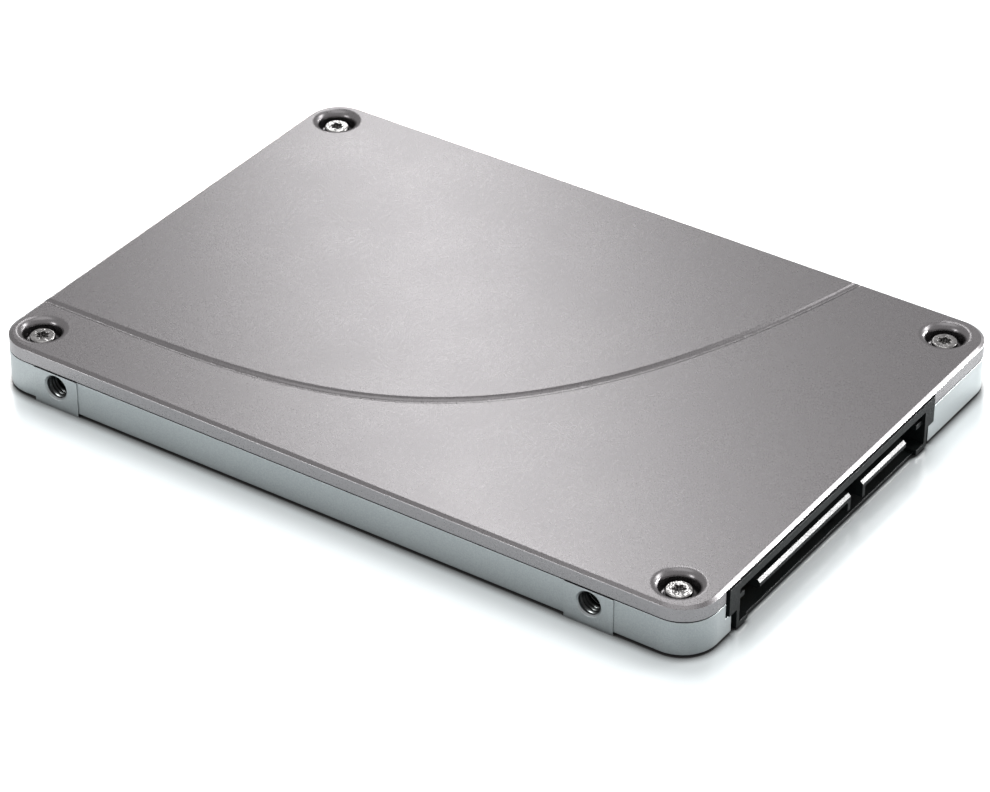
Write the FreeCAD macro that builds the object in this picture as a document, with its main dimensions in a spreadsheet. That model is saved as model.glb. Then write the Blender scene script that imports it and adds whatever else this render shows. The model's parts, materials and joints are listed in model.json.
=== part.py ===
import FreeCAD, Part
import math
import os
import Sketcher

# A 2.5 inch solid state drive, 7 mm high, with a 22-contact serial connector.
# Frame: millimetres, +X towards the connector, +Z up. The origin is the middle of the
# overall length and width, on the plane that the four mounting lands stand on.
# Every driving size is a cell of the sheet below, under the alias named here.
DIMENSIONS = {
    # how far a cut runs on past the face it opens
    "cut_overrun": 1.0,
    # case
    "case_length": 100.2,
    "case_width": 69.85,
    "case_height": 7.0,
    "corner_radius": 4.6,
    "side_inset": 0.12,
    "foot_height": 0.25,
    "floor_top": 1.05,
    "tray_top": 4.87,
    "tray_wall": 1.4,
    "tray_edge": 0.18,
    "upstand_height": 0.65,
    "upstand_inset": 0.8,
    "upstand_margin": 11.0,
    "seam_gap": 0.14,
    "cover_wall": 0.7,
    "cover_ceiling": 6.2,
    "bevel_inset": 0.46,
    "bevel_drop": 0.28,
    # standard mounting holes, measured from the connector end of the case
    "mount_first": 14.0,
    "mount_pitch": 76.6,
    "mount_side_height": 3.0,
    "mount_bottom_inset": 4.065,
    "mount_radius": 1.5,
    "mount_side_depth": 2.45,
    "mount_bottom_depth": 3.0,
    "mount_countersink": 0.22,
    "land_length": 6.6,
    "land_depth": 6.7,
    # cover screws and the dished wells they sit in
    "screw_back_inset": 4.1,
    "screw_front_inset": 4.95,
    "screw_side_inset": 4.5,
    "well_radius": 3.25,
    "well_lip": 0.95,
    "well_floor": 4.95,
    "well_fillet": 0.5,
    "well_boss_radius": 3.9,
    "well_stem_radius": 2.55,
    "boss_overlap": 0.3,
    "stem_clearance": 0.1,
    "post_radius": 2.9,
    "post_top": 4.2,
    "cover_hole_radius": 1.15,
    "screw_head_radius": 1.62,
    "screw_head_height": 1.25,
    "screw_head_round": 0.22,
    "screw_shank_radius": 0.95,
    "screw_length": 3.2,
    "screw_turn": 17.0,
    "screw_bore_radius": 1.0,
    "drive_core_radius": 0.62,
    "drive_lobe_radius": 0.24,
    "drive_depth": 0.5,
    # styling groove across the cover, as a curve from the back edge to the long edge
    "groove_tool_radius": 0.8,
    "groove_start_y": -25.05,
    "groove_bend_back": -15.0,
    "groove_bend_y": -24.25,
    "groove_bend_front": 14.65,
    "groove_turn_y": -29.5,
    "groove_end": 30.9,
    "groove_end_overrun": 0.6,
    "groove_start_lift": 0.6,
    "groove_middle_lift": 0.28,
    "groove_end_lift": 0.6,
    # connector moulding
    "connector_proud": 0.25,
    "connector_shift": -4.65,
    "shell_half_width": 23.35,
    "ear_depth": 2.6,
    "shell_top": 6.52,
    "shell_ceiling": 5.5,
    "ear_bottom": 2.95,
    "cheek_outer": 21.75,
    "cheek_inner": 21.15,
    "cheek_bottom": 0.3,
    "sill_top": 0.6,
    "sill_setback": 0.45,
    "toe_inner": 19.3,
    "toe_top": 0.95,
    "rail_inner": 19.6,
    "rail_bottom": 3.65,
    "rail_top": 4.3,
    "rail_setback": 0.35,
    "cavity_depth": 6.6,
    "shell_depth": 8.2,
    "tongue_bottom": 2.67,
    "tongue_top": 3.9,
    "tongue_bevel": 0.37,
    "tongue_setback": 0.05,
    "tongue_half_span": 16.7,
    "power_tongue_end": 3.7,
    "signal_tongue_end": 6.5,
    "key_thickness": 0.6,
    "key_bottom": 1.72,
    "power_contacts": 15,
    "signal_contacts": 7,
    "contact_pitch": 1.27,
    "contact_width": 0.84,
    "contact_thickness": 0.2,
    "contact_first": 15.86,
    "signal_first": 8.27,
    "contact_setback": 0.75,
    "contact_tail": 1.8,
    "opening_clearance": 0.45,
    "opening_low_half_width": 22.55,
    "opening_step": 2.8,
    "opening_depth": 8.6,
    "cover_relief_top": 6.6,
    "lock_thickness": 0.25,
    "lock_length": 3.4,
    "lock_height": 2.2,
    # circuit board
    "board_bottom": 1.85,
    "board_thickness": 0.8,
    "board_back": -47.9,
    "board_half_width": 32.5,
    "board_neck_half_width": 27.1,
    "board_wide_back": -36.6,
    "board_wide_front": 32.2,
    "board_gap": 0.1,
    "standoff_radius": 2.2,
    "standoff_back": -30.0,
    "standoff_front": 26.5,
    "standoff_side": 29.4,
    "board_screw_radius": 0.95,
    "board_hole_radius": 1.1,
    "board_screw_depth": 1.75,
    "board_head_radius": 1.9,
    "board_head_height": 1.1,
    "film_thickness": 0.1,
    "film_half_width": 26.6,
    "film_back": -44.0,
    "film_front": 40.5,
    # chips and what carries their heat into the cover
    "flash_length": 14.0,
    "flash_width": 18.0,
    "flash_height": 1.2,
    "flash_pitch": 15.4,
    "flash_back": -40.0,
    "flash_side": 10.4,
    "controller_size": 17.0,
    "controller_height": 1.2,
    "controller_place": 23.5,
    "controller_side": -1.5,
    "buffer_length": 10.0,
    "buffer_width": 13.0,
    "buffer_side": 16.5,
    "chip_edge": 0.12,
    "pin_mark_radius": 0.45,
    "pin_mark_depth": 0.06,
    "pad_gap_top": 4.85,
    "pad_margin": 1.0,
    "holdup_length": 7.3,
    "holdup_width": 4.3,
    "holdup_height": 1.9,
    "holdup_pitch": 9.6,
    "holdup_back": -21.0,
    "holdup_side": 24.2,
    "terminal_wrap": 1.0,
    "terminal_thickness": 0.12,
    "power_row": 36.6,
    "core_regulator_side": -4.6,
    "flash_regulator_side": -13.2,
    "regulator_size": 4.0,
    "regulator_height": 0.9,
    "diode_side": -23.4,
    "diode_length": 4.4,
    "diode_width": 2.6,
    "diode_height": 2.1,
    "fuse_place": 29.6,
    "fuse_side": -23.6,
    "fuse_length": 3.2,
    "fuse_width": 1.6,
    "fuse_height": 0.7,
    "firmware_place": 37.5,
    "firmware_side": 12.5,
    "firmware_length": 5.0,
    "firmware_width": 4.0,
    "firmware_height": 1.5,
    "crystal_side": 5.6,
    "crystal_length": 3.2,
    "crystal_width": 2.5,
    "crystal_height": 0.8,
    "inductor_1_side": -9.1,
    "inductor_2_side": -18.2,
    "inductor_size": 4.0,
    "inductor_height": 1.8,
    "ceramic_length": 1.6,
    "ceramic_width": 0.8,
    "ceramic_height": 0.8,
    "ceramic_pitch": 2.6,
    "ceramic_row": 0.6,
    "resistor_length": 1.0,
    "resistor_width": 0.5,
    "resistor_height": 0.35,
    "resistor_pitch": 1.6,
    "resistor_side": -12.6,
    "resistor_row": 1.2,
}

doc = FreeCAD.newDocument("solid_state_drive")
sheet = doc.addObject("Spreadsheet::Sheet", "sizes")
for row, (alias, value) in enumerate(DIMENSIONS.items(), start=1):
    sheet.set("A%d" % row, alias)
    sheet.set("B%d" % row, str(value))
    sheet.setAlias("B%d" % row, alias)
doc.recompute()

# Places that several pieces share, as expressions of the sheet.
BACK = "-(sizes.case_length + sizes.connector_proud) / 2"
FRONT = "(sizes.case_length - sizes.connector_proud) / 2"
NOSE = "(sizes.case_length + sizes.connector_proud) / 2"
SIDE = "(sizes.case_width / 2 - sizes.side_inset)"
COVER_BOTTOM = "(sizes.tray_top + sizes.seam_gap)"
BOARD_TOP = "(sizes.board_bottom + sizes.board_thickness)"
SCREW_BACK = "(%s + sizes.screw_back_inset)" % BACK
SCREW_FRONT = "(%s - sizes.screw_front_inset)" % FRONT
SCREW_SIDE = "(sizes.case_width / 2 - sizes.screw_side_inset)"
MOUNT_FRONT = "(%s - sizes.mount_first)" % FRONT
MOUNT_BACK = "(%s - sizes.mount_pitch)" % MOUNT_FRONT
MOUNT_BOTTOM_SIDE = "(sizes.case_width / 2 - sizes.mount_bottom_inset)"
SHELL_BACK = "(%s - sizes.shell_depth)" % NOSE

nodes = []


def mm(alias):
    """One size of the sheet, for the shapes that are made in code."""
    return float(sheet.get(alias))


def keep(obj, name):
    """Names a finished sub-part and puts it on the list of files to write."""
    obj.Label = name
    nodes.append(obj)
    return obj


# ---------------------------------------------------------------- PartDesign helpers

def new_body(name):
    return doc.addObject("PartDesign::Body", name + "_body")


def new_sketch(body, name, plane="XY_Plane", level="0"):
    """An empty sketch on one of the body's own planes, level mm along its normal."""
    sketch = body.newObject("Sketcher::SketchObject", name)
    support = [f for f in body.Origin.OriginFeatures if f.Role == plane][0]
    sketch.AttachmentSupport = [(support, "")]
    sketch.MapMode = "FlatFace"
    sketch.setExpression("AttachmentOffset.Base.z", level)
    return sketch


def bind(sketch, constraint, name, expression):
    """Adds a dimension to a sketch and ties it to an expression of the sheet."""
    index = sketch.addConstraint(constraint)
    sketch.renameConstraint(index, name)
    sketch.setExpression("Constraints." + name, expression)


def add_rectangle(sketch, x_low, x_high, y_low, y_high):
    """A rectangle whose four sides are tied to expressions."""
    first = sketch.GeometryCount
    corners = [FreeCAD.Vector(x, y, 0) for x, y in ((0, 0), (1, 0), (1, 1), (0, 1))]
    for i in range(4):
        sketch.addGeometry(Part.LineSegment(corners[i], corners[(i + 1) % 4]), False)
    for i in range(4):
        following = first + (i + 1) % 4
        sketch.addConstraint(Sketcher.Constraint("Coincident", first + i, 2, following, 1))
        kind = "Horizontal" if i % 2 == 0 else "Vertical"
        sketch.addConstraint(Sketcher.Constraint(kind, first + i))
    tag = "r%d" % first
    low = (-1, 1, first, 1)
    high = (-1, 1, first + 1, 2)
    bind(sketch, Sketcher.Constraint("DistanceX", *low, 0.0), tag + "_x_low", x_low)
    bind(sketch, Sketcher.Constraint("DistanceY", *low, 0.0), tag + "_y_low", y_low)
    bind(sketch, Sketcher.Constraint("DistanceX", *high, 1.0), tag + "_x_high", x_high)
    bind(sketch, Sketcher.Constraint("DistanceY", *high, 1.0), tag + "_y_high", y_high)


def add_circle(sketch, x, y, radius):
    """A circle whose centre and radius are tied to expressions."""
    first = sketch.addGeometry(Part.Circle(FreeCAD.Vector(), FreeCAD.Vector(0, 0, 1), 1.0))
    tag = "c%d" % first
    bind(sketch, Sketcher.Constraint("Radius", first, 1.0), tag + "_radius", radius)
    bind(sketch, Sketcher.Constraint("DistanceX", -1, 1, first, 3, 0.0), tag + "_x", x)
    bind(sketch, Sketcher.Constraint("DistanceY", -1, 1, first, 3, 0.0), tag + "_y", y)


def extrude(body, kind, sketch, length, reverse=False):
    """A Pad or a Pocket of a sketch; stops if it leaves the body's volume as it was."""
    before = 0.0 if body.Shape.isNull() else body.Shape.Volume
    feature = body.newObject("PartDesign::" + kind, sketch.Name + "_" + kind.lower())
    feature.Profile = sketch
    feature.setExpression("Length", length)
    feature.Reversed = reverse
    sketch.Visibility = False
    doc.recompute()
    if abs(feature.Shape.Volume - before) < 1e-4:
        raise RuntimeError("%s changes nothing" % feature.Name)
    return feature


def pad(body, sketch, length, reverse=False):
    return extrude(body, "Pad", sketch, length, reverse)


def pocket(body, sketch, length, reverse=False):
    return extrude(body, "Pocket", sketch, length, reverse)


def edges_where(feature, test):
    """Names of a feature's edges that pass a test."""
    return ["Edge%d" % i for i, e in enumerate(feature.Shape.Edges, start=1) if test(e)]


def is_level(edge, height):
    box = edge.BoundBox
    return abs(box.ZMin - height) < 1e-6 and abs(box.ZMax - height) < 1e-6


def chamfer(body, base, name, edge_names, size):
    feature = body.newObject("PartDesign::Chamfer", name)
    feature.Base = (base, edge_names)
    feature.setExpression("Size", size)
    doc.recompute()
    return feature


def span(sign, near, far):
    """The low and the high end of a stretch that lies on one side of the middle plane."""
    return ("-" + far, "-" + near) if sign == "-" else (near, far)


def screw_places():
    """Expressions for the four cover screws, one at each corner."""
    return [(x, sign + SCREW_SIDE) for x in (SCREW_BACK, SCREW_FRONT) for sign in ("-", "")]


def mount_places():
    """Expressions for the four mounting stations along both long sides."""
    return [(x, sign) for x in (MOUNT_BACK, MOUNT_FRONT) for sign in ("-", "")]


def standoff_places():
    return [("sizes.standoff_" + end, sign + "sizes.standoff_side")
            for end in ("back", "front") for sign in ("-", "")]


# ---------------------------------------------------------------- case

def add_case_outline(sketch, inset_alias=""):
    """The case's plan outline, with round corners, drawn a given distance inside it."""
    inset = mm(inset_alias) if inset_alias else 0.0
    inside = " - sizes." + inset_alias if inset_alias else ""
    radius = mm("corner_radius") - inset
    shift = -mm("connector_proud") / 2
    far_x = mm("case_length") / 2 - inset - radius
    far_y = mm("case_width") / 2 - mm("side_inset") - inset - radius
    up = FreeCAD.Vector(0, 0, 1)
    corners = ((1, 1), (-1, 1), (-1, -1), (1, -1))
    arcs = []
    for quarter, (side_x, side_y) in enumerate(corners):
        centre = FreeCAD.Vector(shift + side_x * far_x, side_y * far_y, 0)
        turn = quarter * math.pi / 2
        arc = Part.ArcOfCircle(Part.Circle(centre, up, radius), turn, turn + math.pi / 2)
        arcs.append(sketch.addGeometry(arc, False))
        tag = "corner_%d" % quarter
        bind(sketch, Sketcher.Constraint("Radius", arcs[-1], radius), tag + "_radius",
             "sizes.corner_radius" + inside)
        bind(sketch, Sketcher.Constraint("DistanceX", -1, 1, arcs[-1], 3, centre.x), tag + "_x",
             (FRONT + " - " if side_x > 0 else BACK + " + ") + "sizes.corner_radius")
        bind(sketch, Sketcher.Constraint("DistanceY", -1, 1, arcs[-1], 3, centre.y), tag + "_y",
             "%s(%s - sizes.corner_radius)" % ("" if side_y > 0 else "-", SIDE))
    ends = [(sketch.getPoint(arc, 1), sketch.getPoint(arc, 2)) for arc in arcs]
    for quarter in range(4):
        following = (quarter + 1) % 4
        line = sketch.addGeometry(Part.LineSegment(ends[quarter][1], ends[following][0]), False)
        sketch.addConstraint(Sketcher.Constraint("Tangent", arcs[quarter], 2, line, 1))
        sketch.addConstraint(Sketcher.Constraint("Tangent", line, 2, arcs[following], 1))


def make_tray():
    """The lower half of the case, cast as a shallow tray with bosses in its corners."""
    body = new_body("base_tray")
    outline = new_sketch(body, "tray_outline", level="sizes.foot_height")
    add_case_outline(outline)
    shell = pad(body, outline, "sizes.tray_top - sizes.foot_height")
    underside = edges_where(shell, lambda e: is_level(e, mm("foot_height")))
    chamfer(body, shell, "tray_lower_edge", underside, "sizes.tray_edge")

    hollow = new_sketch(body, "tray_hollow", level="sizes.tray_top")
    add_case_outline(hollow, "tray_wall")
    pocket(body, hollow, "sizes.tray_top - sizes.floor_top")

    lands = new_sketch(body, "mount_lands")
    for x, sign in mount_places():
        add_rectangle(lands, x + " - sizes.land_length / 2", x + " + sizes.land_length / 2",
                      *span(sign, "(sizes.case_width / 2 - sizes.land_depth)",
                            "sizes.case_width / 2"))
    pad(body, lands, "sizes.tray_top")

    posts = new_sketch(body, "screw_posts", level="sizes.floor_top")
    for x, y in screw_places():
        add_circle(posts, x, y, "sizes.post_radius")
    pad(body, posts, "sizes.post_top - sizes.floor_top")

    room = new_sketch(body, "stem_room", level="sizes.tray_top")
    for x, y in screw_places():
        add_circle(room, x, y, "sizes.well_stem_radius + sizes.stem_clearance")
    pocket(body, room, "sizes.tray_top - sizes.post_top")

    standoffs = new_sketch(body, "board_standoffs", level="sizes.floor_top")
    for x, y in standoff_places():
        add_circle(standoffs, x, y, "sizes.standoff_radius")
    pad(body, standoffs, "sizes.board_bottom - sizes.floor_top")

    upstand = new_sketch(body, "seam_upstand", level="sizes.tray_top")
    for sign in ("-", ""):
        add_rectangle(upstand, BACK + " + sizes.upstand_margin",
                      FRONT + " - sizes.upstand_margin",
                      *span(sign, "(%s - sizes.tray_wall)" % SIDE,
                            "(%s - sizes.upstand_inset)" % SIDE))
    add_rectangle(upstand, BACK + " + sizes.upstand_inset", BACK + " + sizes.tray_wall",
                  "-(%s - sizes.upstand_margin)" % SIDE, "%s - sizes.upstand_margin" % SIDE)
    pad(body, upstand, "sizes.upstand_height")

    taps = new_sketch(body, "cover_screw_bores", level="sizes.post_top")
    for x, y in screw_places():
        add_circle(taps, x, y, "sizes.screw_bore_radius")
    pocket(body, taps, "sizes.post_top - sizes.floor_top")

    board_taps = new_sketch(body, "board_screw_bores", level="sizes.board_bottom")
    for x, y in standoff_places():
        add_circle(board_taps, x, y, "sizes.screw_bore_radius")
    pocket(body, board_taps, "sizes.board_bottom - sizes.floor_top + sizes.foot_height")

    cut_connector_opening(body)
    return keep(cut_mount_holes(body), "base_tray")


def cut_connector_opening(body):
    """The stepped window in the front wall and floor that the connector looks out of."""
    middle = "sizes.connector_shift"
    window = new_sketch(body, "tray_window", level="sizes.tray_top")
    half = "(sizes.shell_half_width + sizes.opening_clearance)"
    add_rectangle(window, FRONT + " - 2 * sizes.tray_wall", FRONT + " + sizes.cut_overrun",
                  "%s - %s" % (middle, half), "%s + %s" % (middle, half))
    pocket(body, window, "sizes.tray_top - sizes.opening_step")
    mouth = new_sketch(body, "tray_mouth", level="sizes.tray_top")
    half = "sizes.opening_low_half_width"
    add_rectangle(mouth, "%s - sizes.opening_depth" % NOSE, FRONT + " + sizes.cut_overrun",
                  "%s - %s" % (middle, half), "%s + %s" % (middle, half))
    pocket(body, mouth, "sizes.tray_top + sizes.cut_overrun")


def cut_mount_holes(body):
    """Four bores up from the lands and two in from each long side, with eased mouths."""
    bottom = new_sketch(body, "bottom_mounts")
    for x, sign in mount_places():
        add_circle(bottom, x, sign + MOUNT_BOTTOM_SIDE, "sizes.mount_radius")
    pocket(body, bottom, "sizes.mount_bottom_depth", reverse=True)
    for name, level, reverse in (("right_mounts", "sizes.case_width / 2", False),
                                 ("left_mounts", "-sizes.case_width / 2", True)):
        side = new_sketch(body, name, "XZ_Plane", level)
        for x in (MOUNT_BACK, MOUNT_FRONT):
            add_circle(side, x, "sizes.mount_side_height", "sizes.mount_radius")
        last = pocket(body, side, "sizes.mount_side_depth", reverse)

    def is_mouth(edge):
        circle = edge.Curve
        if not isinstance(circle, Part.Circle) or abs(circle.Radius - mm("mount_radius")) > 1e-4:
            return False
        at_side = abs(abs(circle.Center.y) - mm("case_width") / 2) < 1e-4
        return at_side or abs(circle.Center.z) < 1e-4

    chamfer(body, last, "mount_mouths", edges_where(last, is_mouth), "sizes.mount_countersink")
    return body


def make_cover():
    """The upper half of the case: a bevelled lid with four dished screw wells."""
    body = new_body("top_cover")
    outline = new_sketch(body, "cover_outline", level=COVER_BOTTOM)
    add_case_outline(outline)
    plate = pad(body, outline, "sizes.case_height - " + COVER_BOTTOM)
    rim = edges_where(plate, lambda e: is_level(e, mm("case_height")))
    bevel = body.newObject("PartDesign::Chamfer", "cover_bevel")
    bevel.Base = (plate, rim)
    bevel.ChamferType = "Two distances"
    bevel.setExpression("Size", "sizes.bevel_inset")
    bevel.setExpression("Size2", "sizes.bevel_drop")
    doc.recompute()
    bevel_drop = [v.Z for v in bevel.Shape.Vertexes if v.Z < mm("case_height") - 1e-4
                  and v.Z > mm("cover_ceiling")]
    if bevel_drop and min(bevel_drop) < mm("case_height") - mm("bevel_drop") - 1e-4:
        bevel.FlipDirection = True
        doc.recompute()

    hollow = new_sketch(body, "cover_hollow", level=COVER_BOTTOM)
    add_case_outline(hollow, "cover_wall")
    pocket(body, hollow, "sizes.cover_ceiling - " + COVER_BOTTOM, reverse=True)

    bosses = new_sketch(body, "well_bosses", level=COVER_BOTTOM)
    stems = new_sketch(body, "well_stems", level="sizes.post_top")
    for x, y in screw_places():
        add_circle(bosses, x, y, "sizes.well_boss_radius")
        add_circle(stems, x, y, "sizes.well_stem_radius")
    pad(body, bosses, "sizes.cover_ceiling + sizes.boss_overlap - " + COVER_BOTTOM)
    pad(body, stems, "sizes.cover_ceiling + sizes.boss_overlap - sizes.post_top")

    pedestals = new_sketch(body, "heat_pedestals", level="sizes.pad_gap_top")
    for low_x, high_x, low_y, high_y in pedestal_places():
        add_rectangle(pedestals, low_x, high_x, low_y, high_y)
    pad(body, pedestals, "sizes.cover_ceiling + sizes.boss_overlap - sizes.pad_gap_top")

    for name, depth, half in (("relief", "sizes.opening_depth", "sizes.cheek_outer"),
                              ("window", "2 * sizes.tray_wall", "sizes.shell_half_width")):
        reach = "(%s + sizes.opening_clearance)" % half
        cut = new_sketch(body, "connector_" + name, level=COVER_BOTTOM)
        add_rectangle(cut, "%s - %s" % (NOSE, depth), FRONT + " + sizes.cut_overrun",
                      "sizes.connector_shift - " + reach, "sizes.connector_shift + " + reach)
        pocket(body, cut, "sizes.cover_relief_top - " + COVER_BOTTOM, reverse=True)

    for index, (x, y) in enumerate(screw_places(), start=1):
        cut_well(body, index, x, y)

    groove = make_groove_tool()
    cover = doc.addObject("Part::Cut", "top_cover")
    cover.Base = body
    cover.Tool = groove
    cover.Refine = True
    return keep(cover, "top_cover")


def pedestal_places():
    """Blocks under the lid that reach down to the pads on the controller and the flash."""
    reach = "sizes.controller_size / 2 - sizes.pad_margin"
    places = [("sizes.controller_place - (%s)" % reach, "sizes.controller_place + " + reach,
               "sizes.controller_side - (%s)" % reach, "sizes.controller_side + " + reach)]
    low_x = "sizes.flash_back - sizes.flash_length / 2 + sizes.pad_margin"
    high_x = ("sizes.flash_back + 3 * sizes.flash_pitch + sizes.flash_length / 2"
              " - sizes.pad_margin")
    half = "(sizes.flash_width / 2 - sizes.pad_margin)"
    for side in ("-sizes.flash_side", "sizes.flash_side"):
        places.append((low_x, high_x, "%s - %s" % (side, half), "%s + %s" % (side, half)))
    return places


def cut_well(body, index, x, y):
    """One dished screw well, turned about its own upright axis."""
    sketch = new_sketch(body, "well_%d" % index, "XZ_Plane", "-(%s)" % y)
    sketch.setExpression("AttachmentOffset.Base.x", x)
    top = mm("case_height")
    radius = mm("well_radius")
    lip = mm("well_lip")
    floor = mm("well_floor")
    ease = mm("well_fillet")
    wall = radius - lip
    hole = mm("cover_hole_radius")
    above = top + mm("cut_overrun")
    below = mm("post_top") - mm("cut_overrun")
    half_turn = math.sin(math.pi / 4)

    def point(r, z):
        return FreeCAD.Vector(r, z, 0)

    outline = [
        Part.LineSegment(point(0, above), point(radius, above)),
        Part.LineSegment(point(radius, above), point(radius, top)),
        Part.Arc(point(radius, top),
                 point(radius - lip * half_turn, top - lip * (1 - half_turn)),
                 point(wall, top - lip)),
        Part.LineSegment(point(wall, top - lip), point(wall, floor + ease)),
        Part.Arc(point(wall, floor + ease),
                 point(wall - ease * (1 - half_turn), floor + ease * (1 - half_turn)),
                 point(wall - ease, floor)),
        Part.LineSegment(point(wall - ease, floor), point(hole, floor)),
        Part.LineSegment(point(hole, floor), point(hole, below)),
        Part.LineSegment(point(hole, below), point(0, below)),
        Part.LineSegment(point(0, below), point(0, above)),
    ]
    sketch.addGeometry(outline, False)
    groove = body.newObject("PartDesign::Groove", "well_%d_groove" % index)
    groove.Profile = sketch
    groove.ReferenceAxis = (sketch, ["V_Axis"])
    groove.Angle = 360
    doc.recompute()
    return groove


def make_groove_tool():
    """A round-nosed cutter that runs along a curve and rises towards both of its ends."""
    radius = mm("groove_tool_radius")
    back = -(mm("case_length") + mm("connector_proud")) / 2 - mm("groove_end_overrun")
    side = mm("case_width") / 2 + mm("groove_end_overrun")
    shift = -mm("connector_proud") / 2
    top = mm("case_height")
    poles = [
        FreeCAD.Vector(back, mm("groove_start_y"), top + mm("groove_start_lift")),
        FreeCAD.Vector(mm("groove_bend_back") + shift, mm("groove_bend_y"),
                       top + mm("groove_middle_lift")),
        FreeCAD.Vector(mm("groove_bend_front") + shift, mm("groove_turn_y"),
                       top + mm("groove_middle_lift")),
        FreeCAD.Vector(mm("groove_end") + shift, side, top + mm("groove_end_lift")),
    ]
    curve = Part.BezierCurve()
    curve.setPoles(poles)
    path = Part.Wire([curve.toShape()])
    direction = curve.tangent(0.0)[0]
    profile = Part.Wire([Part.makeCircle(radius, poles[0], direction)])
    cutter = path.makePipeShell([profile], True, True)
    if cutter.Volume < 0:
        cutter.reverse()
    tool = doc.addObject("Part::Feature", "groove_cutter")
    tool.Shape = cutter
    return tool


# ---------------------------------------------------------------- connector

def make_box(name, x_low, x_high, y_low, y_high, z_low, z_high):
    """A box between six expressions of the sheet."""
    box = doc.addObject("Part::Box", name)
    for prop, low, high in (("Length", x_low, x_high), ("Width", y_low, y_high),
                            ("Height", z_low, z_high)):
        box.setExpression(prop, "(%s) - (%s)" % (high, low))
    box.setExpression("Placement.Base.x", x_low)
    box.setExpression("Placement.Base.y", y_low)
    box.setExpression("Placement.Base.z", z_low)
    return box


def fuse(name, shapes):
    joined = doc.addObject("Part::MultiFuse", name)
    joined.Shapes = shapes
    joined.Refine = True
    doc.recompute()
    return joined


def across(sign, near, far):
    """A stretch to one side of the connector's own middle, in the case's frame."""
    middle = "sizes.connector_shift"
    low, high = span(sign, near, far)
    return "%s + (%s)" % (middle, low), "%s + (%s)" % (middle, high)


def make_shell():
    """The black moulding: a hood with two cheeks, guide rails, toes and two keyed tongues."""
    cavity_back = "%s - sizes.cavity_depth" % NOSE
    between = ("sizes.connector_shift - sizes.cheek_outer",
               "sizes.connector_shift + sizes.cheek_outer")
    pieces = [
        make_box("shell_roof", SHELL_BACK, NOSE, *between, "sizes.shell_ceiling",
                 "sizes.shell_top"),
        make_box("shell_rear", SHELL_BACK, cavity_back, *between, "sizes.cheek_bottom",
                 "sizes.shell_ceiling"),
    ]
    for sign, tag in (("-", "power"), ("", "signal")):
        pieces += [
            make_box("ear_" + tag, NOSE + " - sizes.ear_depth", NOSE,
                     *across(sign, "sizes.cheek_outer", "sizes.shell_half_width"),
                     "sizes.ear_bottom", "sizes.shell_top"),
            make_box("cheek_" + tag, cavity_back, NOSE,
                     *across(sign, "sizes.cheek_inner", "sizes.cheek_outer"),
                     "sizes.cheek_bottom", "sizes.shell_ceiling"),
            make_box("toe_" + tag, cavity_back, NOSE,
                     *across(sign, "sizes.toe_inner", "sizes.cheek_inner"),
                     "sizes.cheek_bottom", "sizes.toe_top"),
            make_box("rail_" + tag, cavity_back, NOSE + " - sizes.rail_setback",
                     *across(sign, "sizes.rail_inner", "sizes.cheek_inner"),
                     "sizes.rail_bottom", "sizes.rail_top"),
        ]
    pieces.append(make_box("shell_sill", SHELL_BACK, NOSE + " - sizes.sill_setback", *between,
                           "sizes.cheek_bottom", "sizes.sill_top"))
    tip = NOSE + " - sizes.tongue_setback"
    middle = "sizes.connector_shift + "
    spans = {"power": ("-sizes.tongue_half_span", "sizes.power_tongue_end"),
             "signal": ("sizes.signal_tongue_end", "sizes.tongue_half_span")}
    keys = {"power": ("sizes.power_tongue_end - sizes.key_thickness", "sizes.power_tongue_end"),
            "signal": ("sizes.signal_tongue_end",
                       "sizes.signal_tongue_end + sizes.key_thickness")}
    for tag in ("power", "signal"):
        pieces.append(make_box("tongue_" + tag, cavity_back, tip, middle + spans[tag][0],
                               middle + spans[tag][1], "sizes.tongue_bottom",
                               "sizes.tongue_top"))
        pieces.append(make_box("key_" + tag, cavity_back, tip, middle + keys[tag][0],
                               middle + keys[tag][1], "sizes.key_bottom",
                               "sizes.tongue_bottom"))
    moulding = fuse("shell_moulding", pieces)

    tip_x = (mm("case_length") + mm("connector_proud")) / 2 - mm("tongue_setback")

    def is_tongue_lip(edge):
        box = edge.BoundBox
        at_tip = abs(box.XMin - tip_x) < 1e-4 and abs(box.XMax - tip_x) < 1e-4
        at_face = is_level(edge, mm("tongue_top")) or is_level(edge, mm("tongue_bottom"))
        return at_tip and box.YLength > 1 and at_face

    eased = doc.addObject("Part::Chamfer", "shell_eased")
    eased.Base = moulding
    size = mm("tongue_bevel")
    eased.Edges = [(int(name[4:]), size, size) for name in edges_where(moulding, is_tongue_lip)]
    doc.recompute()

    slots = doc.addObject("Part::Feature", "contact_slots")
    slots.Shape = Part.makeCompound([contact_blade(y) for y in power_rows() + signal_rows()])
    shell = doc.addObject("Part::Cut", "connector_shell")
    shell.Base = eased
    shell.Tool = slots
    doc.recompute()
    return keep(shell, "connector_shell")


def power_rows():
    """Where the power contacts lie across the connector."""
    first = mm("connector_shift") - mm("contact_first")
    return [first + i * mm("contact_pitch") for i in range(int(mm("power_contacts")))]


def signal_rows():
    first = mm("connector_shift") + mm("signal_first")
    return [first + i * mm("contact_pitch") for i in range(int(mm("signal_contacts")))]


def contact_blade(y):
    """A flat contact under a tongue, through the rear wall and out over the board's pad."""
    nose = (mm("case_length") + mm("connector_proud")) / 2
    front = nose - mm("tongue_setback") - mm("contact_setback")
    back = nose - mm("shell_depth") - mm("contact_tail")
    corner = FreeCAD.Vector(back, y - mm("contact_width") / 2,
                            mm("board_bottom") + mm("board_thickness"))
    return Part.makeBox(front - back, mm("contact_width"), mm("contact_thickness"), corner)


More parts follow.
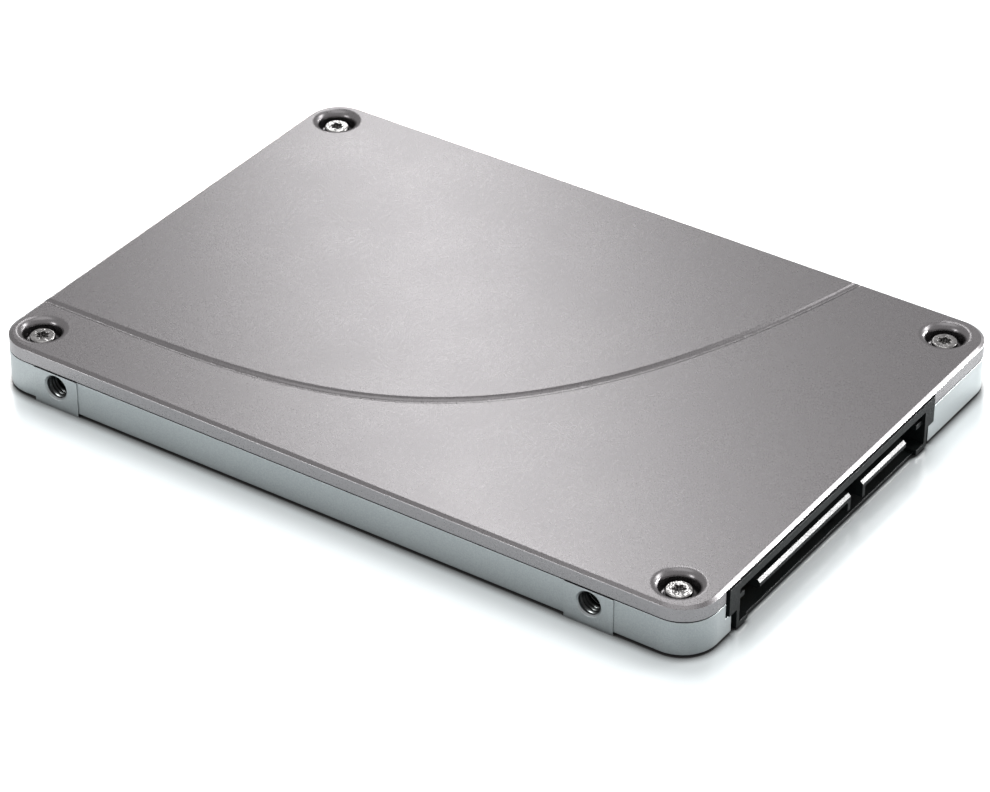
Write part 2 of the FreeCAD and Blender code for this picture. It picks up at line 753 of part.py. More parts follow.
def make_contacts(name, rows):
    """One group of contacts, each a separate solid, with an eased front edge."""
    blades = []
    for y in rows:
        blade = contact_blade(y)
        front = blade.BoundBox.XMax
        lips = [e for e in blade.Edges if abs(e.BoundBox.XMin - front) < 1e-6
                and is_level(e, blade.BoundBox.ZMin)]
        blades.append(blade.makeChamfer(mm("contact_thickness") / 2, lips))
    group = doc.addObject("Part::Feature", name)
    group.Shape = Part.makeCompound(blades)
    return keep(group, name)


def make_board_locks():
    """Two bent metal straps that solder the ends of the connector down to the board."""
    height = mm("board_bottom") + mm("board_thickness")
    back = (mm("case_length") + mm("connector_proud")) / 2 - mm("shell_depth")
    thick = mm("lock_thickness")
    straps = []
    for sign in (-1, 1):
        y = mm("connector_shift") + sign * (mm("cheek_inner") - mm("lock_length") / 2)
        corner = FreeCAD.Vector(back - thick, y - mm("lock_length") / 2, height)
        upright = Part.makeBox(thick, mm("lock_length"), mm("lock_height"), corner)
        flat_corner = FreeCAD.Vector(back - mm("contact_tail"), y - mm("lock_length") / 2, height)
        flat = Part.makeBox(mm("contact_tail"), mm("lock_length"), thick, flat_corner)
        straps.append(upright.fuse(flat).removeSplitter())
    group = doc.addObject("Part::Feature", "board_locks")
    group.Shape = Part.makeCompound(straps)
    return keep(group, "board_locks")


# ---------------------------------------------------------------- screws

def turned_screw(name, seat, head_radius, head_height, shank_radius, length):
    """A round-headed screw turned about +Z, its head's seat at the given height."""
    body = new_body(name)
    sketch = new_sketch(body, name + "_profile", "XZ_Plane")
    ease = mm("screw_head_round")
    top = seat + head_height
    crown = FreeCAD.Vector(head_radius - ease * (1 - math.cos(math.pi / 4)),
                           top - ease * (1 - math.sin(math.pi / 4)), 0)
    points = [FreeCAD.Vector(r, z, 0) for r, z in (
        (0, seat - length), (shank_radius, seat - length), (shank_radius, seat),
        (head_radius, seat), (head_radius, top - ease))]
    outline = [Part.LineSegment(a, b) for a, b in zip(points, points[1:])]
    outline.append(Part.Arc(points[-1], crown, FreeCAD.Vector(head_radius - ease, top, 0)))
    outline.append(Part.LineSegment(FreeCAD.Vector(head_radius - ease, top, 0),
                                    FreeCAD.Vector(0, top, 0)))
    outline.append(Part.LineSegment(FreeCAD.Vector(0, top, 0), points[0]))
    sketch.addGeometry(outline, False)
    turned = body.newObject("PartDesign::Revolution", name + "_turned")
    turned.Profile = sketch
    turned.ReferenceAxis = (sketch, ["V_Axis"])
    turned.Angle = 360
    doc.recompute()
    cut_drive(body, name, top)
    return body


def cut_drive(body, name, top):
    """A six-lobed driver recess in the head: a round core and six lobes round it."""
    core = new_sketch(body, name + "_core", level=str(top))
    add_circle(core, "0", "0", "sizes.drive_core_radius")
    pocket(body, core, "sizes.drive_depth")
    lobe = new_sketch(body, name + "_lobe", level=str(top))
    add_circle(lobe, "sizes.drive_core_radius", "0", "sizes.drive_lobe_radius")
    cut = pocket(body, lobe, "sizes.drive_depth")
    ring = body.newObject("PartDesign::PolarPattern", name + "_lobes")
    ring.Originals = [cut]
    ring.Axis = (core, ["N_Axis"])
    ring.Angle = 360
    ring.Occurrences = 6
    body.Tip = ring
    doc.recompute()


def place_copies(name, master, places):
    """A group of copies of one turned piece, each a separate solid at its own place."""
    doc.recompute()
    copies = []
    for index, (x, y) in enumerate(places):
        solid = master.Shape.copy()
        solid.rotate(FreeCAD.Vector(), FreeCAD.Vector(0, 0, 1), index * mm("screw_turn"))
        solid.translate(FreeCAD.Vector(x, y, 0))
        copies.append(solid)
    group = doc.addObject("Part::Feature", name)
    group.Shape = Part.makeCompound(copies)
    return keep(group, name)


def make_cover_screws():
    master = turned_screw("cover_screw", mm("well_floor"), mm("screw_head_radius"),
                          mm("screw_head_height"), mm("screw_shank_radius"),
                          mm("screw_length"))
    half = mm("case_length") / 2
    shift = -mm("connector_proud") / 2
    side = mm("case_width") / 2 - mm("screw_side_inset")
    places = [(x, y) for x in (shift - half + mm("screw_back_inset"),
                               shift + half - mm("screw_front_inset"))
              for y in (-side, side)]
    return place_copies("cover_screws", master, places)


def make_board_screws():
    seat = mm("board_bottom") + mm("board_thickness")
    master = turned_screw("board_screw", seat, mm("board_head_radius"),
                          mm("board_head_height"), mm("board_screw_radius"),
                          mm("board_screw_depth"))
    places = [(mm("standoff_" + end), sign * mm("standoff_side"))
              for end in ("back", "front") for sign in (-1, 1)]
    return place_copies("board_screws", master, places)


# ---------------------------------------------------------------- board and film

def make_board():
    """The circuit board: narrow at both ends to pass the bosses, wide between them."""
    body = new_body("circuit_board")
    front = "(%s - sizes.board_gap)" % SHELL_BACK
    neck = new_sketch(body, "board_neck", level="sizes.board_bottom")
    add_rectangle(neck, "sizes.board_back", front, "-sizes.board_neck_half_width",
                  "sizes.board_neck_half_width")
    pad(body, neck, "sizes.board_thickness")
    wings = new_sketch(body, "board_wings", level="sizes.board_bottom")
    add_rectangle(wings, "sizes.board_wide_back", "sizes.board_wide_front",
                  "-sizes.board_half_width", "sizes.board_half_width")
    pad(body, wings, "sizes.board_thickness")
    holes = new_sketch(body, "board_holes", level="sizes.board_bottom")
    for x, y in standoff_places():
        add_circle(holes, x, y, "sizes.board_hole_radius")
    pocket(body, holes, "sizes.board_thickness", reverse=True)
    return keep(body, "circuit_board")


def make_film():
    """A thin sheet that keeps the underside of the board off the metal floor."""
    body = new_body("insulating_film")
    film_outline = new_sketch(body, "film_profile", level="sizes.floor_top")
    add_rectangle(film_outline, "sizes.film_back", "sizes.film_front",
                  "-sizes.film_half_width", "sizes.film_half_width")
    pad(body, film_outline, "sizes.film_thickness")
    return keep(body, "insulating_film")


# ---------------------------------------------------------------- chips and passives

def make_chip(name, x, y, length, width, height, marked=True):
    """A moulded package on the board, with eased top edges and a pin-one mark."""
    body = new_body(name)
    outline = new_sketch(body, name + "_outline", level=BOARD_TOP)
    add_rectangle(outline, "%s - %s / 2" % (x, length), "%s + %s / 2" % (x, length),
                  "%s - %s / 2" % (y, width), "%s + %s / 2" % (y, width))
    block = pad(body, outline, height)
    top = block.Shape.BoundBox.ZMax
    chamfer(body, block, name + "_edges", edges_where(block, lambda e: is_level(e, top)),
            "sizes.chip_edge")
    if marked:
        mark = new_sketch(body, name + "_mark", level="%s + %s" % (BOARD_TOP, height))
        add_circle(mark, "%s - %s / 2 + 3 * sizes.pin_mark_radius" % (x, length),
                   "%s - %s / 2 + 3 * sizes.pin_mark_radius" % (y, width),
                   "sizes.pin_mark_radius")
        pocket(body, mark, "sizes.pin_mark_depth")
    return keep(body, name)


def make_chips():
    """Memory, its controller and the small parts that run them."""
    for index in range(8):
        column, side = index // 2, "-" if index % 2 == 0 else ""
        make_chip("flash_package_%d" % (index + 1),
                  "(sizes.flash_back + %d * sizes.flash_pitch)" % column,
                  "(%ssizes.flash_side)" % side, "sizes.flash_length", "sizes.flash_width",
                  "sizes.flash_height")
    make_chip("controller_chip", "sizes.controller_place", "sizes.controller_side",
              "sizes.controller_size", "sizes.controller_size", "sizes.controller_height")
    make_chip("buffer_memory", "sizes.controller_place", "sizes.buffer_side",
              "sizes.buffer_length", "sizes.buffer_width", "sizes.flash_height")
    make_chip("firmware_chip", "sizes.firmware_place", "sizes.firmware_side",
              "sizes.firmware_length", "sizes.firmware_width", "sizes.firmware_height")
    make_chip("clock_crystal", "sizes.power_row", "sizes.crystal_side", "sizes.crystal_length",
              "sizes.crystal_width", "sizes.crystal_height", marked=False)
    for name in ("core_regulator", "flash_regulator"):
        make_chip(name, "sizes.power_row", "sizes.%s_side" % name, "sizes.regulator_size",
                  "sizes.regulator_size", "sizes.regulator_height")
    make_chip("surge_diode", "sizes.power_row", "sizes.diode_side", "sizes.diode_length",
              "sizes.diode_width", "sizes.diode_height", marked=False)
    make_chip("input_fuse", "sizes.fuse_place", "sizes.fuse_side", "sizes.fuse_length",
              "sizes.fuse_width", "sizes.fuse_height", marked=False)
    for index in (1, 2):
        make_chip("power_inductor_%d" % index, "sizes.power_row",
                  "sizes.inductor_%d_side" % index, "sizes.inductor_size",
                  "sizes.inductor_size", "sizes.inductor_height", marked=False)


def holdup_places():
    """The six reservoir capacitors: three along each long side of the board."""
    back = mm("holdup_back")
    return [(back + i * mm("holdup_pitch"), sign * mm("holdup_side"))
            for sign in (-1, 1) for i in range(3)]


def make_holdup_capacitors():
    """Moulded capacitors whose tin straps wrap both ends, with the straps one node."""
    base = mm("board_bottom") + mm("board_thickness")
    length = mm("holdup_length")
    width = mm("holdup_width")
    height = mm("holdup_height")
    thick = mm("terminal_thickness")
    straps = []
    for index, (x, y) in enumerate(holdup_places(), start=1):
        block = Part.makeBox(length - 2 * thick, width, height - thick,
                             FreeCAD.Vector(x - length / 2 + thick, y - width / 2,
                                            base + thick))
        upper = [e for e in block.Edges if is_level(e, base + height)]
        capacitor = doc.addObject("Part::Feature", "holdup_capacitor_%d" % index)
        capacitor.Shape = block.makeChamfer(2 * thick, upper)
        keep(capacitor, capacitor.Name)
        for sign in (-1, 1):
            end = x + sign * (length / 2 - thick / 2)
            foot = x + sign * (length / 2 - mm("terminal_wrap") / 2)
            upright = Part.makeBox(thick, width / 2, height / 2,
                                   FreeCAD.Vector(end - thick / 2, y - width / 4, base))
            flat = Part.makeBox(mm("terminal_wrap"), width / 2, thick,
                                FreeCAD.Vector(foot - mm("terminal_wrap") / 2,
                                               y - width / 4, base))
            straps.append(upright.fuse(flat).removeSplitter())
    group = doc.addObject("Part::Feature", "capacitor_terminals")
    group.Shape = Part.makeCompound(straps)
    keep(group, "capacitor_terminals")


def make_array(name, length, width, height, places):
    """Small parts of one kind, each a separate solid standing on the board."""
    base = mm("board_bottom") + mm("board_thickness")
    solids = [Part.makeBox(length, width, height,
                           FreeCAD.Vector(x - length / 2, y - width / 2, base))
              for x, y in places]
    group = doc.addObject("Part::Feature", name)
    group.Shape = Part.makeCompound(solids)
    return keep(group, name)


def make_passives():
    """Rows of chip capacitors beside the flash and of resistors beside the controller."""
    back = mm("flash_back")
    capacitors = [(back + column * mm("flash_pitch") + step * mm("ceramic_pitch"), side)
                  for column in range(4) for side in (-mm("ceramic_row"), mm("ceramic_row"))
                  for step in (-1, 0, 1)]
    make_array("ceramic_capacitors", mm("ceramic_length"), mm("ceramic_width"),
               mm("ceramic_height"), capacitors)
    edge = mm("controller_place") - mm("controller_size") / 2
    resistors = [(edge + step * mm("resistor_pitch"),
                  mm("resistor_side") - row * mm("resistor_row"))
                 for row in range(3) for step in range(9)]
    make_array("chip_resistors", mm("resistor_length"), mm("resistor_width"),
               mm("resistor_height"), resistors)


def make_heat_pads():
    """Soft pads between the packages and the blocks under the lid."""
    names = ("controller_heat_pad", "flash_heat_pad_1", "flash_heat_pad_2")
    for name, places in zip(names, pedestal_places()):
        pad_box = make_box(name, *places, BOARD_TOP + " + sizes.flash_height",
                           "sizes.pad_gap_top")
        keep(pad_box, name)


# ---------------------------------------------------------------- build and write

def check_document():
    """Stops on any failed object, or any sub-part that isn't valid solids."""
    doc.recompute()
    for obj in doc.Objects:
        if "Invalid" in obj.State or "Error" in obj.State:
            raise RuntimeError("%s failed: %s" % (obj.Name, obj.State))
    for obj in nodes:
        if obj.Shape.isNull() or not obj.Shape.isValid() or not obj.Shape.Solids:
            raise RuntimeError("%s has no valid shape" % obj.Label)


def write_parts():
    os.makedirs("parts", exist_ok=True)
    for obj in nodes:
        obj.Shape.exportStep("parts/%s.step" % obj.Label)
        box = obj.Shape.BoundBox
        print("%-24s %2d solids %9.2f mm3  x %7.2f %7.2f  y %7.2f %7.2f  z %5.2f %5.2f" % (
            obj.Label, len(obj.Shape.Solids), obj.Shape.Volume, box.XMin, box.XMax,
            box.YMin, box.YMax, box.ZMin, box.ZMax))


make_tray()
make_cover()
make_cover_screws()
make_shell()
make_contacts("power_contacts", power_rows())
make_contacts("signal_contacts", signal_rows())
make_board_locks()
make_board()
make_board_screws()
make_film()
make_chips()
make_holdup_capacitors()
make_passives()
make_heat_pads()
check_document()
write_parts()
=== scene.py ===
"""Looks for the 2.5 inch solid state drive: finishes, mount threads, floor, lights and camera."""
import json
import math

import bpy
from mathutils import Matrix, Vector


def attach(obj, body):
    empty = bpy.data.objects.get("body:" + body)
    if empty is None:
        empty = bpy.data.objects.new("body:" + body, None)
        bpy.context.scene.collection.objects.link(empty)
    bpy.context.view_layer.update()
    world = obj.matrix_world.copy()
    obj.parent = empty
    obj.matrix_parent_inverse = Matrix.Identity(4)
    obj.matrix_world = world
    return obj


MM = 0.001
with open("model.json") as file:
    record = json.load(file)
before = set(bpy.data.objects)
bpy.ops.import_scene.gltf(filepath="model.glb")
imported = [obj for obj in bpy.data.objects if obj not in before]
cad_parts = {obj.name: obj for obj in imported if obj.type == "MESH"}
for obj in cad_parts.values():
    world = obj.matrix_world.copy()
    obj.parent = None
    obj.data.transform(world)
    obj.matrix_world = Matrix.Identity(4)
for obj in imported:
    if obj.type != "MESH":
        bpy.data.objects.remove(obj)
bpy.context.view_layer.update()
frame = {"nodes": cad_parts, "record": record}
NODES = frame["nodes"]


# ---------------------------------------------------------------- node helpers

def new_material(name):
    material = bpy.data.materials.new(name)
    material.use_nodes = True
    material.node_tree.nodes.clear()
    return material


def plug(tree, socket, value):
    """Links a node's output to the socket, or sets the socket to a plain value."""
    if isinstance(value, bpy.types.NodeSocket):
        tree.links.new(value, socket)
    else:
        socket.default_value = value


def add(tree, kind, inputs=None, **settings):
    """A shader node with its settings, and its inputs set from values or other nodes' outputs."""
    made = tree.nodes.new(kind)
    for key, value in settings.items():
        setattr(made, key, value)
    for key, value in (inputs or {}).items():
        plug(tree, made.inputs[key], value)
    return made


def total(tree, first, second):
    return add(tree, "ShaderNodeMath", {0: first, 1: second}, operation="ADD").outputs[0]


def noise(tree, place, size, detail):
    """Noise whose grains are about `size` metres across."""
    made = add(tree, "ShaderNodeTexNoise",
               {"Vector": place, "Scale": 1.0 / size, "Detail": detail, "Roughness": 0.5})
    return made.outputs["Fac"]


def spread(tree, value, low, high, start=0.3, end=0.7):
    """Carries a value between start and end onto the range from low to high."""
    made = add(tree, "ShaderNodeMapRange",
               {"Value": value, "From Min": start, "From Max": end, "To Min": low, "To Max": high})
    return made.outputs["Result"]


def openness(tree, reach, samples=8):
    """How open the surface is to its surroundings within `reach` metres: 0 in a crevice, 1 in the open."""
    return add(tree, "ShaderNodeAmbientOcclusion", {"Distance": reach}, samples=samples).outputs["AO"]


def tint(tree, factor, first, second):
    """Blends from the first colour to the second. A colour is three numbers or a node's output."""
    made = add(tree, "ShaderNodeMix", {"Factor": factor}, data_type="RGBA")
    for socket, value in ((made.inputs[6], first), (made.inputs[7], second)):
        plug(tree, socket, value if isinstance(value, bpy.types.NodeSocket) else (*value, 1.0))
    return made.outputs[2]


def shade(colour, factor):
    return tuple(min(1.0, c * factor) for c in colour)


def finish_material(tree, shader):
    output = add(tree, "ShaderNodeOutputMaterial")
    tree.links.new(shader.outputs[0], output.inputs["Surface"])


METAL_PATCH = 9 * MM
METAL_PATCH_SHADE = 0.04
METAL_PATCH_GLOSS = 0.006
PLASTIC_PATCH = 6 * MM
CREVICE_REACH = 0.8 * MM
HOLLOW_REACH = 3.2 * MM


def metal(name, colour, roughness, grain, grain_depth, edge_radius=0.0, edge_wear_highlight=1.0,
          speckle=0.10, crevice_shade=0.55, bore_shade=0.0, rim=1.0):
    """Metal with fine blasted grain, slow patches of colour and gloss, and rounded edges whose colour is
    lightened, partly as rubbed wear and partly as a painted highlight.

    Crevices and deep bores are darkened with painted shade by the crevice and bore shade amounts. `rim`
    scales the shine at grazing angles.
    """
    material = new_material(name)
    tree = material.node_tree
    place = add(tree, "ShaderNodeTexCoord").outputs["Object"]
    fine = noise(tree, place, grain, 1.0)
    coarse = noise(tree, place, METAL_PATCH, 3.0)
    tone = tint(tree, spread(tree, fine, 0.0, 1.0, 0.25, 0.75),
                shade(colour, 1.0 - speckle), shade(colour, 1.0 + speckle))
    tone = tint(tree, spread(tree, coarse, 0.0, METAL_PATCH_SHADE), tone, shade(colour, 0.6))
    gloss = total(tree, spread(tree, coarse, roughness - METAL_PATCH_GLOSS, roughness + METAL_PATCH_GLOSS),
                  spread(tree, fine, -0.02, 0.02))
    # Painted shade: the colour falls to near black where the surface is hemmed in within the crevice
    # reach.
    crevice_shade_mask = spread(tree, openness(tree, CREVICE_REACH), crevice_shade, 0.0, 0.15, 0.75)
    tone = tint(tree, crevice_shade_mask, tone, shade(colour, 0.05))
    # Painted shade: deep bores fall to near black.
    if bore_shade:
        depth = spread(tree, openness(tree, HOLLOW_REACH), bore_shade, 0.0, 0.16, 0.40)
        tone = tint(tree, depth, tone, shade(colour, 0.02))
    bump_inputs = {"Height": fine, "Strength": 1.0, "Distance": grain_depth}
    # Edges: rounded normals from the bevel, and a colour lightened towards the edge, partly rubbed wear
    # and partly a painted highlight.
    if edge_radius:
        rounded = add(tree, "ShaderNodeBevel", {"Radius": edge_radius}, samples=12).outputs[0]
        flat = add(tree, "ShaderNodeNewGeometry").outputs["Normal"]
        turn = add(tree, "ShaderNodeVectorMath", {0: rounded, 1: flat}, operation="DOT_PRODUCT")
        edge = spread(tree, turn.outputs["Value"], 1.0, 0.0, 0.80, 0.985)
        tone = tint(tree, edge, tone, shade(colour, edge_wear_highlight))
        bump_inputs["Normal"] = rounded
    bump = add(tree, "ShaderNodeBump", bump_inputs).outputs[0]
    shader = add(tree, "ShaderNodeBsdfPrincipled",
                 {"Base Color": tone, "Metallic": 1.0, "Roughness": gloss, "Normal": bump,
                  "Specular Tint": (rim, rim, rim, 1.0)})
    finish_material(tree, shader)
    return material


def plastic(name, colour, roughness, grain, grain_depth, second=None, edge_radius=0.0, ior=1.5, coat=0.0):
    """Moulded, painted or fired surface: fine texture, a second tone in soft patches, uneven gloss."""
    material = new_material(name)
    tree = material.node_tree
    place = add(tree, "ShaderNodeTexCoord").outputs["Object"]
    fine = noise(tree, place, grain, 2.0)
    coarse = noise(tree, place, PLASTIC_PATCH, 3.0)
    tone = tint(tree, spread(tree, coarse, 0.0, 1.0), colour, second or shade(colour, 1.25))
    gloss = total(tree, spread(tree, coarse, roughness - 0.05, roughness + 0.05),
                  spread(tree, fine, -0.04, 0.04))
    bump_inputs = {"Height": fine, "Strength": 1.0, "Distance": grain_depth}
    if edge_radius:
        bump_inputs["Normal"] = add(tree, "ShaderNodeBevel", {"Radius": edge_radius}, samples=6).outputs[0]
    bump = add(tree, "ShaderNodeBump", bump_inputs).outputs[0]
    shader = add(tree, "ShaderNodeBsdfPrincipled",
                 {"Base Color": tone, "Roughness": gloss, "Normal": bump, "IOR": ior, "Coat Weight": coat})
    finish_material(tree, shader)
    return material


# ---------------------------------------------------------------- materials

# The thread ridges are painted near black as painted shade deep in the bores; thread_light picks out their
# crests.
SHADED_THREAD_STEEL = metal("shaded_bore", (0.032, 0.034, 0.034), 0.30, 0.10 * MM, 0.003 * MM)

# In these finishes the crevice and bore amounts paint shade into hollows, and the edge factor paints a
# highlight along the edges, partly as rubbed wear.
FINISH_OF_SLOT = {
    "cover_metal": metal("blasted_cover", (0.246, 0.238, 0.243), 0.287, 0.16 * MM, 0.004 * MM,
                         edge_radius=0.12 * MM, edge_wear_highlight=1.8, speckle=0.05, crevice_shade=0.75, rim=0.8),
    "tray_metal": metal("cast_tray", (0.325, 0.348, 0.353), 0.42, 0.14 * MM, 0.006 * MM,
                        edge_radius=0.08 * MM, edge_wear_highlight=1.3, bore_shade=0.95),
    "screw_steel": metal("nickel_screws", (0.36, 0.355, 0.35), 0.14, 0.40 * MM, 0.060 * MM,
                         edge_radius=0.06 * MM, edge_wear_highlight=1.7, speckle=0.40, crevice_shade=0.70),
    "contact_gold": metal("gold_contacts", (0.83, 0.62, 0.25), 0.25, 0.2 * MM, 0.002 * MM),
    "tin_plate": metal("tin_plate", (0.66, 0.65, 0.62), 0.45, 0.1 * MM, 0.004 * MM),
    "connector_plastic": plastic("connector_resin", (0.006, 0.008, 0.008), 0.32, 0.20 * MM, 0.020 * MM,
                                 second=(0.010, 0.012, 0.012), edge_radius=0.06 * MM, ior=1.16),
    "board_laminate": plastic("solder_mask", (0.010, 0.085, 0.040), 0.32, 0.3 * MM, 0.003 * MM,
                              second=(0.016, 0.120, 0.055), coat=0.3),
    "chip_epoxy": plastic("chip_epoxy", (0.022, 0.022, 0.023), 0.55, 0.08 * MM, 0.004 * MM,
                          edge_radius=0.05 * MM),
    "ferrite": plastic("ferrite", (0.045, 0.045, 0.050), 0.60, 0.10 * MM, 0.006 * MM),
    "ceramic": plastic("fired_ceramic", (0.36, 0.24, 0.15), 0.42, 0.08 * MM, 0.003 * MM),
    "capacitor_resin": plastic("capacitor_resin", (0.55, 0.34, 0.05), 0.45, 0.10 * MM, 0.003 * MM),
    "heat_pad": plastic("silicone_pad", (0.28, 0.34, 0.42), 0.75, 0.12 * MM, 0.008 * MM),
    "film": plastic("amber_film", (0.60, 0.36, 0.05), 0.18, 0.5 * MM, 0.002 * MM, coat=0.4),
}

for part in frame["record"]["subparts"]:
    cad = NODES[part["node"]]
    cad.data.materials.clear()
    cad.data.materials.append(FINISH_OF_SLOT[part["material_slot"]])


# ---------------------------------------------------------------- mount threads

THREAD_PITCH = 0.5 * MM
THREAD_ROOT = 1.502 * MM
THREAD_CREST = 1.24 * MM
THREAD_START = 0.30 * MM
THREAD_STEPS = 48
THREAD_PROFILE = ((-0.44, THREAD_ROOT), (-0.07, THREAD_CREST), (0.07, THREAD_CREST), (0.44, THREAD_ROOT))
FADE_STEPS = THREAD_STEPS / 3.0
SIDE_THREAD_DEPTH = 2.40 * MM
BOTTOM_THREAD_DEPTH = 2.9 * MM
HOLE_HALF_PITCH = 38.3 * MM
HOLE_HALF_SPAN = 30.86 * MM


def thread(centre, inward, depth, name):
    """The helical ridge of an M3 thread, lining a bore that opens at `centre` and runs `inward`."""
    inward = Vector(inward)
    across = inward.orthogonal().normalized()
    other = inward.cross(across)
    turns = (depth - THREAD_START - THREAD_PITCH) / THREAD_PITCH
    count = int(turns * THREAD_STEPS)
    points = []
    for step in range(count + 1):
        angle = 2.0 * math.pi * step / THREAD_STEPS
        radial = across * math.cos(angle) + other * math.sin(angle)
        along = THREAD_START + THREAD_PITCH * (0.5 + step / THREAD_STEPS)
        fade = min(1.0, step / FADE_STEPS, (count - step) / FADE_STEPS)
        for offset, radius in THREAD_PROFILE:
            faded = THREAD_ROOT + (radius - THREAD_ROOT) * fade
            points.append(Vector(centre) + inward * (along + offset * THREAD_PITCH) + radial * faded)
    size = len(THREAD_PROFILE)
    faces = []
    for base in range(0, count * size, size):
        for k in range(base, base + size - 1):
            faces.append((k, k + 1, k + size + 1, k + size))
    mesh = bpy.data.meshes.new(name)
    mesh.from_pydata(points, [], faces)
    mesh.shade_smooth()
    mesh.materials.append(SHADED_THREAD_STEEL)
    piece = bpy.data.objects.new(name, mesh)
    bpy.context.scene.collection.objects.link(piece)
    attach(piece, "root")
    return piece


mounts = {m["name"]: m["pos_m"] for m in frame["record"]["mounts"]}
ENDS = ((-1.0, "back"), (1.0, "front"))
threads = []
for side, mount_name in ((-1.0, "right_side_holes"), (1.0, "left_side_holes")):
    x, y, z = mounts[mount_name]
    for end, end_name in ENDS:
        threads.append(thread((x + end * HOLE_HALF_PITCH, y, z), (0.0, -side, 0.0), SIDE_THREAD_DEPTH,
                              f"{mount_name}_thread_{end_name}"))
x = mounts["bottom_holes"][0]
for side, side_name in ((-1.0, "right"), (1.0, "left")):
    for end, end_name in ENDS:
        threads.append(thread((x + end * HOLE_HALF_PITCH, side * HOLE_HALF_SPAN, 0.0), (0.0, 0.0, 1.0),
                              BOTTOM_THREAD_DEPTH, f"bottom_thread_{end_name}_{side_name}"))


# ---------------------------------------------------------------- camera

AIM = Vector((4.47, -7.06, 3.5)) * MM
AZIMUTH = math.radians(-55.983)
ELEVATION = math.radians(34.106)
ROLL = math.radians(0.204)
DISTANCE = 489.3 * MM
LENS_MM = 148.17
SENSOR_MM = 36.0

toward = Vector((math.cos(ELEVATION) * math.cos(AZIMUTH), math.cos(ELEVATION) * math.sin(AZIMUTH),
                 math.sin(ELEVATION)))
camera_data = bpy.data.cameras.new("camera")
camera_data.lens = LENS_MM
camera_data.sensor_width = SENSOR_MM
camera_data.clip_start = 10 * MM
camera = bpy.data.objects.new("camera", camera_data)
bpy.context.scene.collection.objects.link(camera)
camera.rotation_mode = "QUATERNION"
camera.location = AIM + toward * DISTANCE
roll = Matrix.Rotation(ROLL, 4, toward)
camera.rotation_quaternion = roll.to_quaternion() @ (-toward).to_track_quat("-Z", "Y")
bpy.context.scene.camera = camera


# ---------------------------------------------------------------- floor

FLOOR_HALF = 3.0
FLOOR_DROP = 0.02 * MM
CONTACT_REACH = 2.2 * MM
CONTACT_SHADOW_TONE = (0.07, 0.07, 0.07)
PAPER_PATCH = 0.4
PAPER_DARK = (0.85, 0.905, 0.915)
PAPER_LIGHT = (0.875, 0.93, 0.94)


def make_floor():
    """A pale paper floor with a painted contact shadow right beside the case."""
    mesh = bpy.data.meshes.new("floor")
    corners = [(sx * FLOOR_HALF, sy * FLOOR_HALF, 0) for sx, sy in ((-1, -1), (1, -1), (1, 1), (-1, 1))]
    mesh.from_pydata(corners, [], [(0, 1, 2, 3)])
    floor = bpy.data.objects.new("floor", mesh)
    bpy.context.scene.collection.objects.link(floor)
    floor.location.z = -FLOOR_DROP
    material = new_material("floor_paper")
    tree = material.node_tree
    place = add(tree, "ShaderNodeTexCoord").outputs["Object"]
    tone = tint(tree, noise(tree, place, PAPER_PATCH, 2.0), PAPER_DARK, PAPER_LIGHT)
    # Painted contact shadow: the paper fades to near black where the case hems it in.
    clear = spread(tree, openness(tree, CONTACT_REACH, samples=16), 0.0, 1.0, 0.44, 0.83)
    tone = tint(tree, clear, CONTACT_SHADOW_TONE, tone)
    finish_material(tree, add(tree, "ShaderNodeBsdfPrincipled", {"Base Color": tone, "Roughness": 0.22}))
    mesh.materials.append(material)
    return floor


# ---------------------------------------------------------------- light

def group(name, pieces):
    """A collection that a light can be limited to."""
    made = bpy.data.collections.new(name)
    for piece in pieces:
        made.objects.link(piece)
    return made


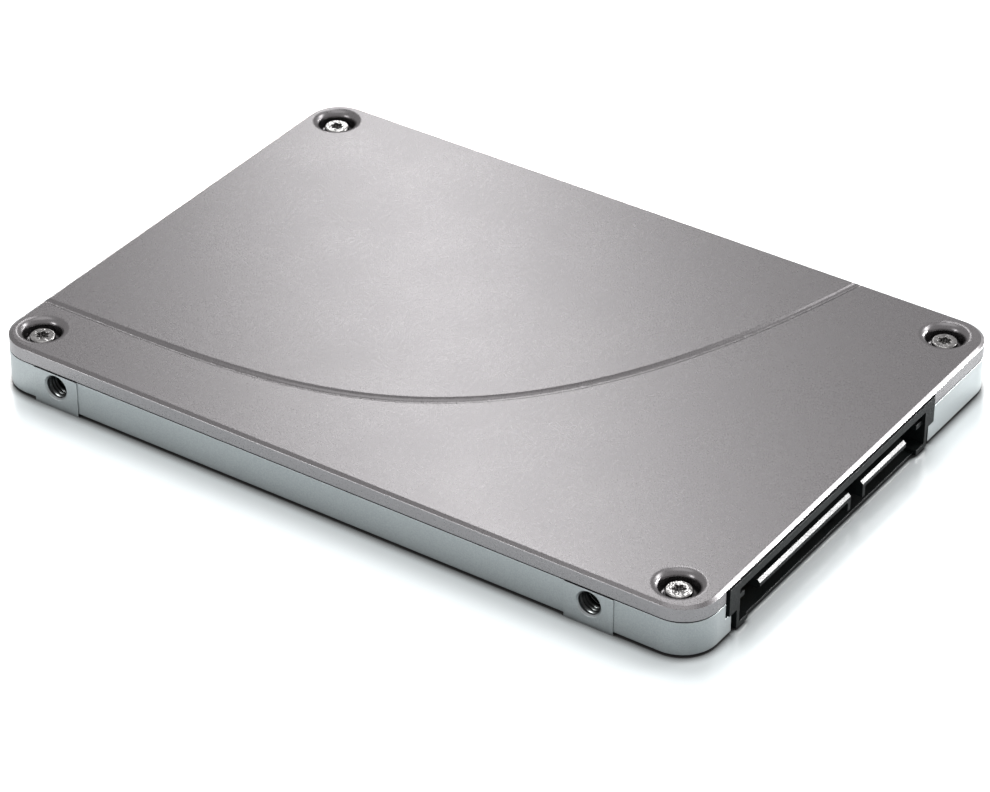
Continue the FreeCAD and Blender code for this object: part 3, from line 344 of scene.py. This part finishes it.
def area_light(name, direction, distance, size, power, along=None, only=None, colour=(1, 1, 1)):
    """A rectangular soft light `distance` metres away in `direction`, facing the drive.

    Its long side lies along `along`. With `only`, it lights just the pieces of that collection.
    """
    data = bpy.data.lights.new(name, "AREA")
    data.shape = "RECTANGLE"
    data.size, data.size_y = size
    data.energy = power
    data.color = colour
    light = bpy.data.objects.new(name, data)
    bpy.context.scene.collection.objects.link(light)
    light.location = Vector(direction) * distance
    away = Vector(direction).normalized()
    light.rotation_mode = "QUATERNION"
    if along is None:
        light.rotation_quaternion = (-away).to_track_quat("-Z", "Y")
    else:
        x = (Vector(along) - away * Vector(along).dot(away)).normalized()
        light.rotation_quaternion = Matrix((x, away.cross(x), away)).transposed().to_quaternion()
    light.light_linking.receiver_collection = only
    return light


floor_only = group("floor_only", [make_floor()])
threads_only = group("threads", threads)
mouth_only = group("mouth_only", [NODES["connector_shell"]])
case_only = group("case_only", [NODES["base_tray"], NODES["top_cover"]])

# The narrow band draws the bright diagonal on the lid. The others fill the lid, bevel and groove.
area_light("band_light", (-0.349, 0.550, 0.658), 1.0, (0.85, 0.07), 1.04, along=(0.633, -0.601, 0.487))
area_light("key_light", (0.43, 0.70, 0.57), 1.5, (0.8, 0.3), 6.0, along=(0.275, 0.0, -0.206))
area_light("ridge_light", (-0.46, -0.88, 0.10), 1.2, (0.6, 0.4), 4.5, along=(0, 0, 1))
area_light("sky_light", (0.02, -0.15, 0.98), 1.3, (1.1, 0.9), 2.2)

# These pick out the thread crests, the case's connector end and the bevels of the tongues.
area_light("thread_light", (-0.46, -0.73, 0.50), 1.2, (0.3, 0.3), 50.0, only=threads_only)
area_light("end_light", (0.50, 0.86, 0.06), 1.2, (0.9, 0.14), 45.0, along=(0.86, -0.50, 0), only=case_only)
mouth_light = area_light("mouth_light", (0.561, 0.686, 0.463), 1.2, (0.30, 0.30), 110.0, only=mouth_only)
mouth_light.visible_diffuse = False

# These give the floor its white and its soft shadow.
area_light("paper_light", (-0.40, 0.42, 0.81), 1.3, (0.8, 0.8), 14.0, only=floor_only)
area_light("side_paper_light", (-0.60, 0.78, 0.30), 1.2, (0.5, 0.3), 24.0, only=floor_only,
           colour=(1.0, 0.91, 0.89))

world = bpy.data.worlds.new("world")
world.use_nodes = True
background = world.node_tree.nodes["Background"]
background.inputs["Color"].default_value = (1.0, 0.978, 0.985, 1.0)
background.inputs["Strength"].default_value = 0.60
bpy.context.scene.world = world
bpy.context.scene.view_settings.view_transform = "Standard"
